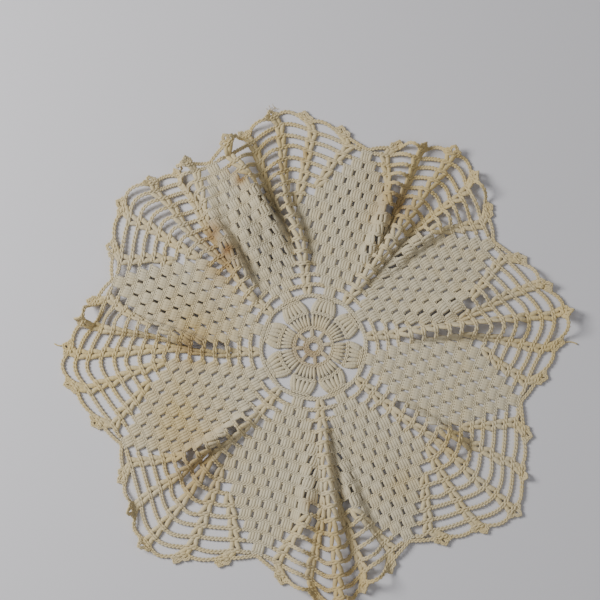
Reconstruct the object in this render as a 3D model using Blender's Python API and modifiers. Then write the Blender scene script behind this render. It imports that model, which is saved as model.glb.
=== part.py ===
"""A crocheted lace doily as it lies: one round cloth with eight close diamond panels, loose net
between them, and soft folds where the net is fuller than a flat disc.

The cloth is one open surface of rounds, given its thickness by Solidify. Each round is laid along
its own plan path, an octagon with soft corners. What a round has over its path goes up into the
folds of the FOLDS table. Metres, +Z up; the origin is under the middle of the flower.
"""

import math
from typing import NamedTuple

import bmesh
import bpy
import numpy as np

# --- driving dimensions ---------------------------------------------------------------------
CLOTH = 0.0018            # thickness of the crochet
TIP_IN = 0.0335           # centre to the inner tips of the panels, where the rounds begin
ROW = 0.0067              # height of one round of tall stitches
BLOCK = 0.0089            # width of one block of four tall stitches and its chain
WIDEST = 8                # round in which a panel is widest, with as many blocks
LAST = 16                 # the edge round
NET_HALF = 0.0088         # panel edge to the middle column of the net, up to the widest round
NET_GROWTH = 0.0065       # what each later round adds to that half of the net
EDGE_SPARE = 0.0060       # extra half width of the edge round, whose chain loops are longer
PICOT = 0.0062            # height of a picot cluster over the edge round
EDGE_LIP = 0.0014         # how far the plain edge chain reaches over the edge round
PICOTS = (3, 6, 10, 14, 17)   # stations of a wedge's edge round that carry picots

# --- flower ---------------------------------------------------------------------------------
FLOWER_RINGS = (0.0060, 0.0130, 0.0200, 0.0246)   # radii of the surface's rings within the flower
GAP_MIDDLE = 0.0286       # radius of the middle of the gaps between the petal tips
GAP_BULGE = 1.16          # how much wider a gap is at its middle than at its ends
GAP_SIDE = 2              # stations from the middle of a gap to its side

# --- how finely the surface is divided ---------------------------------------------------------
STATIONS = 20             # stations of a round from one panel's middle to the next
ROUNDS = (1, 2, 4, 6, 8, 10, 12, 14, 15, 16)
FINE = 240                # steps along a round where its folds are worked out
HALVINGS = 24             # steps in which the slope of a round's folds is found

# --- how the rounds lie ---------------------------------------------------------------------------
ROUND = 0.68              # handle of a nearly circular path, as a share of half its span
CORNERED = 0.72           # what makes the later paths octagons with soft corners
LOBES_FROM = 6.0          # round from which the lobes grow
BEND = 4.0 / 3.0          # a path's middle moves three quarters of what its handles move
FOLDS_AT = 1.25           # how early in the rounds the folds reach their end values
STEEPEST = math.radians(79)
CREASE = 0.65             # under 1 makes a fold's sides straight and its crest sharp
LIFT_FROM = 2.0           # round from which a panel's middle line stands up


class Panel(NamedTuple):
    """One diamond panel: bearings in degrees, and how far its middle line stands up.

    The falls say how far, as a share of the round, that height takes to go on the clockwise side
    (before) and on the anticlockwise side (after).
    """

    name: str
    tip_bearing: float    # of its inner tip, seen from the middle of the doily
    lie_bearing: float    # of its middle line
    lift: float           # height of its middle line at the outer tip
    fall_before: float = 0.5
    fall_after: float = 0.5


PANELS = (
    Panel("east", -12.6, -15.9, 0.000),
    Panel("north_east", 34.4, 29.6, 0.000),
    Panel("north", 73.6, 75.0, 0.001),
    Panel("north_west", 118.2, 119.8, 0.013, 0.78, 0.45),
    Panel("west", 162.3, 161.4, 0.004),
    Panel("south_west", 208.1, 207.1, 0.000),
    Panel("south", 254.1, 255.1, 0.000),
    Panel("south_east", 298.5, 295.1, 0.001),
)


class Fold(NamedTuple):
    """One fold of the net after the named panel, anticlockwise.

    A place is -1 on that panel's middle line, 0 on the net's middle column and 1 on the next
    panel's middle line. The fold runs from start to end as the rounds go out, and its weight
    is its share in what its rounds have over.
    """

    panel: str
    start: float
    end: float
    half_start: float
    half_end: float
    weight_start: float
    weight_end: float


FOLDS = (
    Fold("east", -0.04, -0.10, 0.34, 0.24, 1.0, 1.0),
    Fold("east", 0.50, 0.44, 0.30, 0.22, 0.0, 0.5),
    Fold("north_east", 0.03, 0.02, 0.34, 0.20, 1.0, 0.5),
    Fold("north_east", 0.40, 0.48, 0.20, 0.22, 0.0, 1.0),
    Fold("north_east", -0.40, -0.46, 0.20, 0.20, 0.0, 0.8),
    Fold("north", -0.02, 0.10, 0.32, 0.20, 1.0, 0.5),
    Fold("north", 0.45, 0.66, 0.30, 0.24, 0.0, 1.0),
    Fold("north_west", -0.06, -0.64, 0.36, 0.30, 1.0, 1.0),
    Fold("north_west", 0.20, 0.10, 0.30, 0.24, 0.0, 0.3),
    Fold("west", -0.10, -0.46, 0.36, 0.25, 1.0, 1.0),
    Fold("south_west", -0.04, -0.40, 0.34, 0.24, 1.0, 1.0),
    Fold("south_west", 0.10, 0.02, 0.20, 0.20, 0.0, 0.6),
    Fold("south", 0.00, 0.02, 0.34, 0.22, 1.0, 1.0),
    Fold("south", 0.40, 0.52, 0.20, 0.22, 0.0, 0.7),
    Fold("south", -0.40, -0.50, 0.20, 0.20, 0.0, 0.5),
    Fold("south_east", 0.04, 0.26, 0.34, 0.26, 1.0, 1.0),
)

# How far the lobe after each panel reaches over the octagon's corner, at the edge round.
LOBES = {
    "east": 0.011, "north_east": 0.007, "north": 0.006, "north_west": 0.007,
    "west": 0.007, "south_west": 0.010, "south": 0.010, "south_east": 0.009,
}

# how far the net after each panel is pulled round at the edge, as a share of its path: loose
# loops stretch easily; above 0 is anticlockwise
PULLS = {"north_east": 0.035, "north": 0.025, "north_west": -0.100, "west": -0.060,
         "south_west": -0.025}

# Gaps of the edge round that are wide enough to state: the panel before, and the gap's place.
EDGE_GAPS = (("north_east", 0.2), ("west", 0.2), ("south_west", 0.5), ("south_east", 0.5))

COTTON = (0.62, 0.55, 0.41, 1.0)


def clear_scene():
    """Remove the objects that the scene opens with."""
    for thing in list(bpy.data.objects):
        bpy.data.objects.remove(thing, do_unlink=True)


def compass(bearing):
    """Unit vector at a bearing in degrees, anticlockwise from +X."""
    angle = math.radians(bearing)
    return np.array((math.cos(angle), math.sin(angle)))


def neighbours(index):
    """The panel at an index, the next one, and the full turns between their bearings."""
    after = PANELS[(index + 1) % len(PANELS)]
    return PANELS[index], after, 360.0 if index == len(PANELS) - 1 else 0.0


def outward(row):
    """0 where the rounds begin and 1 at the edge round."""
    return min(row / LAST, 1.0)


def smooth_step(value):
    """Ease a value between 0 and 1."""
    value = min(max(value, 0.0), 1.0)
    return value * value * (3.0 - 2.0 * value)


def round_half(row):
    """Natural length of a round from a panel's middle line to the net's middle column."""
    blocks = min(row, 2 * WIDEST - row)
    net = NET_HALF + NET_GROWTH * max(row - WIDEST, 0)
    spare = EDGE_SPARE if row >= LAST else 0.0
    return 0.5 * BLOCK * max(blocks, 0) + net + spare


def plan_path(index, row):
    """Plan path of a round from one panel's middle line to the next, as FINE + 1 points."""
    panel, after, _turn = neighbours(index)
    start = TIP_IN * compass(panel.tip_bearing) + row * ROW * compass(panel.lie_bearing)
    end = TIP_IN * compass(after.tip_bearing) + row * ROW * compass(after.lie_bearing)
    reach = 0.5 * np.linalg.norm(end - start)
    handle = reach * (ROUND + CORNERED * smooth_step(row / WIDEST))
    corner = (start + end) / np.linalg.norm(start + end)
    reached = smooth_step((row - LOBES_FROM) / (LAST - LOBES_FROM))
    push = LOBES[panel.name] * reached * BEND * corner
    first = start + handle * compass(panel.lie_bearing + 90.0) + push
    second = end + handle * compass(after.lie_bearing - 90.0) + push
    along = np.linspace(0.0, 1.0, FINE + 1)[:, None]
    back = 1.0 - along
    return (back**3 * start + 3 * back**2 * along * first
            + 3 * back * along**2 * second + along**3 * end)


def slope_shape(index, row, places):
    """How the round turns up and down at its places: 1 is its steepest way up."""
    panel = PANELS[index]
    out = outward(row)
    shape = np.zeros_like(places)
    for fold in FOLDS:
        if fold.panel != panel.name:
            continue
        share = smooth_step(out * FOLDS_AT)
        centre = fold.start + (fold.end - fold.start) * share
        half = fold.half_start + (fold.half_end - fold.half_start) * share
        weight = fold.weight_start + (fold.weight_end - fold.weight_start) * share
        wave = np.sin(math.pi * (places - centre) / half)
        wave = np.sign(wave) * np.abs(wave) ** CREASE
        shape -= np.where(np.abs(places - centre) < half, weight * wave, 0.0)
    return shape


def take_up(shape, lean, ratio):
    """Slope in radians at full shape with which a round fits its plan path.

    Its slope is shape times the result; lean is the slope that its lifted panels give it besides.
    """
    low, high = 0.0, STEEPEST / max(np.abs(shape).max(), 1e-6)
    for _step in range(HALVINGS):
        middle = 0.5 * (low + high)
        if np.cos(middle * shape + lean).mean() > ratio:
            low = middle
        else:
            high = middle
    return low


def lay_round(index, row, places):
    """Points (x, y, z) of the cloth's underside at the given places of a round."""
    path = plan_path(index, row)
    pieces = np.linalg.norm(np.diff(path, axis=0), axis=1)
    travelled = np.concatenate(((0.0,), np.cumsum(pieces)))
    length = 2.0 * round_half(row)
    fine = np.linspace(-1.0, 1.0, FINE + 1)
    shape = slope_shape(index, row, fine)
    lift = panel_lift(index, row, fine)
    lean = np.arctan(np.gradient(lift) / (length / FINE))
    slope = take_up(shape, lean, min(travelled[-1] / length, 1.0)) * shape
    run = np.concatenate(((0.0,), np.cumsum(np.cos(slope + lean)[1:])))
    rise = np.concatenate(((0.0,), np.cumsum(np.sin(slope[1:])))) * length / FINE
    rise = np.maximum(rise - rise[-1] * np.linspace(0.0, 1.0, FINE + 1), 0.0)
    rise += lift
    pulled = smooth_step((row - LOBES_FROM) / (LAST - LOBES_FROM))
    pull = PULLS.get(PANELS[index].name, 0.0) * pulled
    share = run / run[-1] + pull * np.cos(fine * math.pi / 2) ** 2
    distance = np.interp(places, fine, share) * travelled[-1]
    x = np.interp(distance, travelled, path[:, 0])
    y = np.interp(distance, travelled, path[:, 1])
    return np.stack((x, y, np.interp(places, fine, rise)), axis=1)


def panel_lift(index, row, places):
    """Height that the two neighbouring panels' lifted middle lines give a round."""
    panel, after, _turn = neighbours(index)
    share = smooth_step((row - LIFT_FROM) / WIDEST)
    first = np.clip((1.0 + places) / panel.fall_after, 0.0, 1.0)
    second = np.clip((1.0 - places) / after.fall_before, 0.0, 1.0)
    first, second = (np.cos(part * math.pi / 2) ** 2 for part in (first, second))
    return share * (panel.lift * first + after.lift * second)


def flower_ring(radius, stations):
    """One flat ring of the flower, with the given stations between two petal tips."""
    ring = []
    for index in range(len(PANELS)):
        panel, after, turn = neighbours(index)
        for step in range(stations):
            share = step / stations
            bearing = panel.tip_bearing + share * (after.tip_bearing + turn - panel.tip_bearing)
            ring.append((*(radius * compass(bearing)), 0.0))
    return ring


def cloth_ring(row):
    """One whole round as a list of points, starting on the first panel's middle line."""
    places = np.linspace(-1.0, 1.0, STATIONS + 1)[:-1]
    return [tuple(p) for index in range(len(PANELS)) for p in lay_round(index, row, places)]


def edge_ring(inner, outer):
    """The outermost ring: picot tips on some stations, plain chain between them."""
    ring = []
    for station, (near, far) in enumerate(zip(inner, outer)):
        way = np.array(far) - np.array(near)
        way[2] = 0.0
        reach = PICOT if station % STATIONS in PICOTS else EDGE_LIP
        ring.append(tuple(np.array(far) + reach * way / np.linalg.norm(way)))
    return ring


def widen_gaps(ring):
    """Push the two stations beside each gap apart, on the ring through the gaps' middles."""
    half = len(ring) // len(PANELS) // 2
    for index in range(len(PANELS)):
        middle = index * 2 * half + half
        for side in (-GAP_SIDE, GAP_SIDE):
            x, y, z = ring[middle + side]
            mid_x, mid_y, _mid_z = ring[middle]
            ring[middle + side] = (
                mid_x + (x - mid_x) * GAP_BULGE, mid_y + (y - mid_y) * GAP_BULGE, z)
    return ring


def add_ring(mesh, points):
    """Add the vertices of one ring."""
    return [mesh.verts.new(point) for point in points]


def add_band(mesh, inner, outer, left_out=()):
    """Join two rings, the outer one with as many vertices as the inner one or with twice that."""
    count = len(inner)
    for step in range(count):
        after = (step + 1) % count
        if step in left_out:
            continue
        if len(outer) == count:
            mesh.faces.new((inner[step], outer[step], outer[after], inner[after]))
            continue
        near, middle, far = outer[2 * step], outer[2 * step + 1], outer[2 * after]
        mesh.faces.new((inner[step], near, middle))
        mesh.faces.new((inner[step], middle, inner[after]))
        mesh.faces.new((inner[after], middle, far))


def petal_gaps(stations):
    """Faces to leave out of the two bands that the petal gaps cross."""
    half = stations // 2
    return {index * stations + half + side
            for index in range(len(PANELS)) for side in range(-GAP_SIDE, GAP_SIDE)}


def edge_gaps():
    """Faces to leave out of the band inside the edge round."""
    names = [panel.name for panel in PANELS]
    faces = set()
    for name, place in EDGE_GAPS:
        station = round((place + 1.0) * STATIONS / 2)
        first = names.index(name) * STATIONS + station
        faces |= {first - 1, first}
    return faces


def cloth_surface():
    """The doily's underside as one open surface with its gaps."""
    mesh = bmesh.new()
    half = STATIONS // 2
    centre = mesh.verts.new((0.0, 0.0, 0.0))
    rings = [add_ring(mesh, flower_ring(radius, half)) for radius in FLOWER_RINGS]
    for step, vert in enumerate(rings[0]):
        mesh.faces.new((centre, vert, rings[0][(step + 1) % len(rings[0])]))
    for inner, outer in zip(rings, rings[1:]):
        add_band(mesh, inner, outer)
    gap_ring = add_ring(mesh, widen_gaps(flower_ring(GAP_MIDDLE, half)))
    add_band(mesh, rings[-1], gap_ring, petal_gaps(half))
    arch_ring = add_ring(mesh, flower_ring(TIP_IN, half))
    add_band(mesh, gap_ring, arch_ring, petal_gaps(half))
    points = [cloth_ring(row) for row in ROUNDS]
    rounds = [add_ring(mesh, ring) for ring in points]
    add_band(mesh, arch_ring, rounds[0])
    for row, inner, outer in zip(ROUNDS[1:], rounds, rounds[1:]):
        add_band(mesh, inner, outer, edge_gaps() if row == LAST else ())
    edge = add_ring(mesh, edge_ring(points[-2], points[-1]))
    add_band(mesh, rounds[-1], edge)
    bmesh.ops.recalc_face_normals(mesh, faces=mesh.faces)
    if sum(face.normal.z for face in mesh.faces) < 0.0:
        bmesh.ops.reverse_faces(mesh, faces=mesh.faces)
    return mesh


def cotton():
    """Unbleached crochet cotton."""
    material = bpy.data.materials.new("crochet_cotton")
    material.use_nodes = True
    shader = material.node_tree.nodes["Principled BSDF"]
    shader.inputs["Base Color"].default_value = COTTON
    shader.inputs["Roughness"].default_value = 0.9
    shader.inputs["Metallic"].default_value = 0.0
    return material


def build_doily():
    """The doily: the open surface, thickened upwards so that its flat parts lie on z = 0."""
    collection = bpy.data.collections.new("lace_doily")
    bpy.context.scene.collection.children.link(collection)
    surface = cloth_surface()
    mesh = bpy.data.meshes.new("doily")
    surface.to_mesh(mesh)
    surface.free()
    mesh.materials.append(cotton())
    doily = bpy.data.objects.new("doily", mesh)
    collection.objects.link(doily)
    wall = doily.modifiers.new("cloth", "SOLIDIFY")
    wall.thickness = CLOTH
    wall.offset = 1.0
    return doily


clear_scene()
build_doily()
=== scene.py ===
"""A crocheted lace doily as it lies on a pale table, made stitch by stitch in cotton thread.

Every stitch is placed in the doily's own pattern (which wedge, which place along the round, which
round) and the Lay class turns that into the soft folds in which the CAD cloth lies.
"""

import logging
import math
from dataclasses import dataclass, field, replace
from enum import Enum
from typing import NamedTuple

import bpy
import numpy as np
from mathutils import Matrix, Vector


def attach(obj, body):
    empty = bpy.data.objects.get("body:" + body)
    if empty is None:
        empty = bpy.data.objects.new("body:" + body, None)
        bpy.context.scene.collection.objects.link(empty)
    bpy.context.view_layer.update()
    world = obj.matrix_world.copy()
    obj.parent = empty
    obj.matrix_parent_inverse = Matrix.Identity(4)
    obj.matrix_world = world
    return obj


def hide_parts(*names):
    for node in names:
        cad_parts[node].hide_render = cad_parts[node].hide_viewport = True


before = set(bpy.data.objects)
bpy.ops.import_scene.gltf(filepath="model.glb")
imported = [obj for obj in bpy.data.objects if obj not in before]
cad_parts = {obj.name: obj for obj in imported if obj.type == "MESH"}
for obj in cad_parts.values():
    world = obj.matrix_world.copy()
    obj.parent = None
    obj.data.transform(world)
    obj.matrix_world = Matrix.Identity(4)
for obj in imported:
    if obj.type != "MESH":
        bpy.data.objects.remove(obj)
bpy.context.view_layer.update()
LOG = logging.getLogger("doily")
SEED = 1923
Array = np.ndarray
Pair = tuple[float, float]


# --- the crochet's sizes and its lay ------------------------------------------------------------
@dataclass(frozen=True)
class Gauge:
    """Real sizes of the crochet, in metres."""

    tip_in: float = 0.0335        # middle of the doily to the panels' inner tips
    row: float = 0.0067           # height of one round of tall stitches
    block: float = 0.0089         # four tall stitches and a chain
    widest: int = 8               # round in which a panel is widest
    last: int = 16                # edge round
    net_half: float = 0.0088      # panel edge to the net's middle column
    net_growth: float = 0.0065    # what each later round adds to that
    edge_spare: float = 0.0060    # what the edge round's longer loops add
    chain: float = 0.0023         # length of one chain stitch
    thread: float = 0.00142       # thickness of one strand of a chain stitch
    v_half: float = 0.0025        # middle of a V-stitch to each of its tops

    @property
    def stitch(self) -> float:
        """Width of one tall stitch."""
        return self.block / 5.0


class PanelLie(NamedTuple):
    """How one panel lies: bearings in degrees, and the height and slopes of its middle line.

    The falls say how far, as a share of the round, the height takes to go on the clockwise side
    (before) and on the anticlockwise side (after).
    """

    name: str
    tip_bearing: float
    lie_bearing: float
    lift: float
    fall_before: float = 0.5
    fall_after: float = 0.5


class Fold(NamedTuple):
    """A fold of the net after a panel; see part of the cloth: -1 panel, 0 net middle, 1 panel."""

    panel: str
    start: float
    end: float
    half_start: float
    half_end: float
    weight_start: float
    weight_end: float


PANELS = (
    PanelLie("east", -12.6, -15.9, 0.000),
    PanelLie("north_east", 34.4, 29.6, 0.000),
    PanelLie("north", 73.6, 75.0, 0.001),
    PanelLie("north_west", 118.2, 119.8, 0.013, 0.78, 0.45),
    PanelLie("west", 162.3, 161.4, 0.004),
    PanelLie("south_west", 208.1, 207.1, 0.000),
    PanelLie("south", 254.1, 255.1, 0.000),
    PanelLie("south_east", 298.5, 295.1, 0.001),
)

FOLDS = (
    Fold("east", -0.04, -0.10, 0.34, 0.24, 1.0, 1.0),
    Fold("east", 0.50, 0.44, 0.30, 0.22, 0.0, 0.5),
    Fold("north_east", 0.03, 0.02, 0.34, 0.20, 1.0, 0.5),
    Fold("north_east", 0.40, 0.48, 0.20, 0.22, 0.0, 1.0),
    Fold("north_east", -0.40, -0.46, 0.20, 0.20, 0.0, 0.8),
    Fold("north", -0.02, 0.10, 0.32, 0.20, 1.0, 0.5),
    Fold("north", 0.45, 0.66, 0.30, 0.24, 0.0, 1.0),
    Fold("north_west", -0.06, -0.64, 0.36, 0.30, 1.0, 1.0),
    Fold("north_west", 0.20, 0.10, 0.30, 0.24, 0.0, 0.3),
    Fold("west", -0.10, -0.46, 0.36, 0.25, 1.0, 1.0),
    Fold("south_west", -0.04, -0.40, 0.34, 0.24, 1.0, 1.0),
    Fold("south_west", 0.10, 0.02, 0.20, 0.20, 0.0, 0.6),
    Fold("south", 0.00, 0.02, 0.34, 0.22, 1.0, 1.0),
    Fold("south", 0.40, 0.52, 0.20, 0.22, 0.0, 0.7),
    Fold("south", -0.40, -0.50, 0.20, 0.20, 0.0, 0.5),
    Fold("south_east", 0.04, 0.26, 0.34, 0.26, 1.0, 1.0),
)

# how far the net after each panel reaches out over the octagon's corner, at the edge
LOBES = {
    "east": 0.011, "north_east": 0.007, "north": 0.006, "north_west": 0.007,
    "west": 0.007, "south_west": 0.010, "south": 0.010, "south_east": 0.009,
}

# how far the net after each panel is pulled round at the edge, as a share of its path: loose
# loops stretch easily; above 0 is anticlockwise
PULLS = {"north_east": 0.035, "north": 0.025, "north_west": -0.100, "west": -0.060,
         "south_west": -0.025}


def compass(bearing: float) -> Array:
    """Unit vector at a bearing in degrees, anticlockwise from +X."""
    angle = math.radians(bearing)
    return np.array((math.cos(angle), math.sin(angle)))


def smooth_step(value: float) -> float:
    """Ease a value between 0 and 1."""
    value = min(max(value, 0.0), 1.0)
    return value * value * (3.0 - 2.0 * value)


class Lay:
    """The surface in which the cloth lies, as a grid over the pattern of each wedge.

    A wedge runs from one panel's middle line (place -1) over the net's middle column (0) to the
    next panel's middle line (1). Rounds run from -5 in the middle of the flower, over 0 at the
    panels' inner tips, to 16 at the edge.
    """

    FINE = 240
    STEP = 0.25
    FIRST = -5.0
    BEYOND = 18.0
    STATIONS = 121
    STEEPEST = math.radians(79)
    CREASE = 0.65                 # under 1 makes a fold's sides straight and its crest sharp
    ROUND = 0.68                  # handle of a nearly circular path, as a share of half its span
    CORNERED = 0.72               # what makes the later paths octagons with soft corners
    LOBES_FROM = 6.0              # round from which the lobes grow
    BEND = 4.0 / 3.0              # a path's middle moves three quarters of what its handles move
    FOLDS_AT = 1.25               # how early in the rounds the folds reach their end values
    LIFT_FROM = 2.0               # round from which a panel's middle line stands up

    def __init__(self, gauge: Gauge) -> None:
        """Lay every round of every wedge.

        Args:
            gauge: The crochet's sizes.
        """
        self.gauge = gauge
        self.rows = np.arange(self.FIRST, self.BEYOND + self.STEP / 2, self.STEP)
        self.places = np.linspace(-1.0, 1.0, self.STATIONS)
        grids = [[self._lay_round(w, row) for row in self.rows] for w in range(len(PANELS))]
        self.points = np.array([[points for points, _half in grid] for grid in grids])
        self.halves = np.array([[half for _points, half in grid] for grid in grids])
        self.normals = self._grid_normals()

    def _path(self, wedge: int, row: float) -> Array:
        """Plan path of a round between two panels' middle lines.

        Args:
            wedge: The wedge.
            row: The round.

        Returns:
            Points in plan, evenly spaced along a cubic curve.
        """
        gauge, panel, after = self.gauge, PANELS[wedge], PANELS[(wedge + 1) % len(PANELS)]
        start = gauge.tip_in * compass(panel.tip_bearing)
        start = start + row * gauge.row * compass(panel.lie_bearing)
        end = gauge.tip_in * compass(after.tip_bearing)
        end = end + row * gauge.row * compass(after.lie_bearing)
        reach = 0.5 * np.linalg.norm(end - start)
        handle = reach * (self.ROUND + self.CORNERED * smooth_step(row / gauge.widest))
        corner = (start + end) / np.linalg.norm(start + end)
        reached = smooth_step((row - self.LOBES_FROM) / (gauge.last - self.LOBES_FROM))
        push = LOBES[panel.name] * reached * self.BEND * corner
        first = start + handle * compass(panel.lie_bearing + 90.0) + push
        second = end + handle * compass(after.lie_bearing - 90.0) + push
        along = np.linspace(0.0, 1.0, self.FINE + 1)[:, None]
        back = 1.0 - along
        return (back**3 * start + 3 * back**2 * along * first
                + 3 * back * along**2 * second + along**3 * end)

    def natural_half(self, row: float) -> float:
        """Natural length of a round from a panel's middle line to the net's middle column.

        Args:
            row: The round.

        Returns:
            The length in metres.
        """
        gauge = self.gauge
        blocks = max(min(row, 2 * gauge.widest - row), 0.0)
        net = gauge.net_half + gauge.net_growth * max(row - gauge.widest, 0.0)
        spare = gauge.edge_spare * min(max(row - gauge.last + 1.0, 0.0), 1.0)
        return 0.5 * gauge.block * blocks + net + spare

    def _shape(self, wedge: int, row: float, places: Array) -> Array:
        """How a round turns up and down along its places.

        Args:
            wedge: The wedge.
            row: The round.
            places: Places from -1 to 1.

        Returns:
            Its slope at each place, as a share of the steepest.
        """
        share = smooth_step(min(row / self.gauge.last, 1.0) * self.FOLDS_AT)
        shape = np.zeros_like(places)
        for fold in FOLDS:
            if fold.panel != PANELS[wedge].name:
                continue
            centre = fold.start + (fold.end - fold.start) * share
            half = fold.half_start + (fold.half_end - fold.half_start) * share
            weight = fold.weight_start + (fold.weight_end - fold.weight_start) * share
            wave = np.sin(math.pi * (places - centre) / half)
            wave = np.sign(wave) * np.abs(wave) ** self.CREASE
            shape -= np.where(np.abs(places - centre) < half, weight * wave, 0.0)
        return shape

    def _take_up(self, shape: Array, lean: Array, ratio: float) -> float:
        """Slope at full shape with which a round fits its plan path.

        Args:
            shape: How the folds turn the round up and down.
            lean: Slope in radians that it has besides.
            ratio: Plan length as a share of natural length.

        Returns:
            The slope in radians.
        """
        low, high = 0.0, self.STEEPEST / max(float(np.abs(shape).max()), 1e-6)
        for _step in range(22):
            middle = 0.5 * (low + high)
            if np.cos(middle * shape + lean).mean() > ratio:
                low = middle
            else:
                high = middle
        return low

    def _lift(self, wedge: int, row: float, places: Array) -> Array:
        """Height that the neighbouring panels' raised middle lines give a round.

        Args:
            wedge: The wedge.
            row: The round.
            places: Places from -1 to 1.

        Returns:
            The height at each place, in metres.
        """
        panel, after = PANELS[wedge], PANELS[(wedge + 1) % len(PANELS)]
        share = smooth_step((row - self.LIFT_FROM) / self.gauge.widest)
        first = np.clip((1.0 + places) / panel.fall_after, 0.0, 1.0)
        second = np.clip((1.0 - places) / after.fall_before, 0.0, 1.0)
        first, second = (np.cos(part * math.pi / 2) ** 2 for part in (first, second))
        return share * (panel.lift * first + after.lift * second)

    def _flower_round(self, wedge: int, row: float) -> tuple[Array, float]:
        """A flat ring within the flower, and its half length.

        Args:
            wedge: The wedge.
            row: The round.

        Returns:
            Its points, and half its length.
        """
        radius = self.gauge.tip_in * (1.0 + row / -self.FIRST)
        panel, after = PANELS[wedge], PANELS[(wedge + 1) % len(PANELS)]
        turn = (after.tip_bearing - panel.tip_bearing) % 360.0
        bearings = np.radians(panel.tip_bearing + turn * (self.places + 1.0) / 2.0)
        ring = np.stack((np.cos(bearings), np.sin(bearings), 0.0 * bearings), axis=1)
        return ring * max(radius, 1e-5), 0.5 * math.radians(turn) * max(radius, 1e-5)

    def _lay_round(self, wedge: int, row: float) -> tuple[Array, float]:
        """One round of one wedge: its points, and the half length that it takes.

        Args:
            wedge: The wedge.
            row: The round.

        Returns:
            Its points, and half its length.
        """
        if row <= 0.0:
            return self._flower_round(wedge, row)
        path = self._path(wedge, row)
        pieces = np.linalg.norm(np.diff(path, axis=0), axis=1)
        travelled = np.concatenate(((0.0,), np.cumsum(pieces)))
        length = 2.0 * self.natural_half(row)
        fine = np.linspace(-1.0, 1.0, self.FINE + 1)
        shape = self._shape(wedge, row, fine)
        lift = self._lift(wedge, row, fine)
        lean = np.arctan(np.gradient(lift) / (length / self.FINE))
        take = self._take_up(shape, lean, min(travelled[-1] / length, 1.0))
        slope = take * shape
        run = np.concatenate(((0.0,), np.cumsum(np.cos(slope + lean)[1:])))
        rise = np.concatenate(((0.0,), np.cumsum(np.sin(slope[1:])))) * length / self.FINE
        rise = np.maximum(rise - rise[-1] * np.linspace(0.0, 1.0, self.FINE + 1), 0.0)
        rise += lift
        pulled = smooth_step((row - self.LOBES_FROM) / (self.gauge.last - self.LOBES_FROM))
        pull = PULLS.get(PANELS[wedge].name, 0.0) * pulled
        share = run / run[-1] + pull * np.cos(fine * math.pi / 2) ** 2
        distance = np.interp(self.places, fine, share) * travelled[-1]
        x = np.interp(distance, travelled, path[:, 0])
        y = np.interp(distance, travelled, path[:, 1])
        points = np.stack((x, y, np.interp(self.places, fine, rise)), axis=1)
        return points, max(0.5 * length, 0.5 * travelled[-1])

    def _grid_normals(self) -> Array:
        """Upward unit normals of the grid.

        Returns:
            An array of the grid's own shape.
        """
        out = np.gradient(self.points, axis=1)
        along = np.gradient(self.points, axis=2)
        normals = np.cross(out, along)
        normals /= np.maximum(np.linalg.norm(normals, axis=-1, keepdims=True), 1e-12)
        normals[normals[..., 2] < 0.0] *= -1.0
        return normals

    def half(self, wedge: int, row: float) -> float:
        """Half length that a round takes in a wedge."""
        return float(np.interp(row, self.rows, self.halves[wedge % len(PANELS)]))

    def at(self, wedge: int, places: Array, rows: Array,
           heights: Array) -> tuple[Array, Array]:
        """Points and normals of the lay.

        Args:
            wedge: The wedge's index.
            places: Places along the round, -1 to 1; past that they go on in the next wedge.
            rows: Rounds, as numbers with fractions.
            heights: Heights over the underside of the cloth, in metres.

        Returns:
            Two arrays of shape (n, 3): points in space, and unit normals.
        """
        places, rows, heights = np.broadcast_arrays(
            np.asarray(places, float), np.asarray(rows, float), np.asarray(heights, float))
        shift = np.floor((places + 1.0) / 2.0).astype(int)
        shift = np.where((places == 1.0), 0, shift)
        which = (wedge + shift) % len(PANELS)
        across = (places - 2.0 * shift + 1.0) * 0.5 * (self.STATIONS - 1)
        down = (np.clip(rows, self.FIRST, self.BEYOND) - self.FIRST) / self.STEP
        i = np.clip(down.astype(int), 0, len(self.rows) - 2)
        j = np.clip(across.astype(int), 0, self.STATIONS - 2)
        u, v = (down - i)[..., None], (across - j)[..., None]
        mixed = []
        for grid in (self.points, self.normals):
            mixed.append((1 - u) * ((1 - v) * grid[which, i, j] + v * grid[which, i, j + 1])
                         + u * ((1 - v) * grid[which, i + 1, j] + v * grid[which, i + 1, j + 1]))
        normals = mixed[1] / np.linalg.norm(mixed[1], axis=-1, keepdims=True)
        return mixed[0] + normals * heights[..., None], normals

    def across(self, panel: int, distance: float, row: float) -> float:
        """Place, counted in the wedge after a panel, of a distance from its middle line.

        Args:
            panel: The panel's index.
            distance: Distance in metres, anticlockwise from the middle line.
            row: The round.

        Returns:
            The place; under -1 it lies in the wedge before.
        """
        wedge = panel if distance >= 0.0 else panel - 1
        return -1.0 + distance / self.half(wedge, row)


# --- cotton -------------------------------------------------------------------------------------
def linear(code: str) -> tuple[float, float, float, float]:
    """Turn an sRGB hex colour to linear.

    Args:
        code: Six hex digits.

    Returns:
        Linear red, green, blue and alpha 1.
    """
    parts = [int(code[i:i + 2], 16) / 255.0 for i in (0, 2, 4)]
    lin = [c / 12.92 if c <= 0.04045 else ((c + 0.055) / 1.055) ** 2.4 for c in parts]
    return lin[0], lin[1], lin[2], 1.0


def add_node(tree: bpy.types.NodeTree, kind: str, settings: dict | None = None,
             links: dict | None = None) -> bpy.types.Node:
    """Add one node with its settings and links.

    Args:
        tree: The node tree.
        kind: The node's type name.
        settings: Properties by name, and input values by socket name or index.
        links: Output sockets by input socket name or index.

    Returns:
        The new node.
    """
    node = tree.nodes.new(kind)
    for key, value in (settings or {}).items():
        if isinstance(key, int) or key in node.inputs:
            node.inputs[key].default_value = value
        else:
            setattr(node, key, value)
    for key, socket in (links or {}).items():
        tree.links.new(socket, node.inputs[key])
    return node


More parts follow.
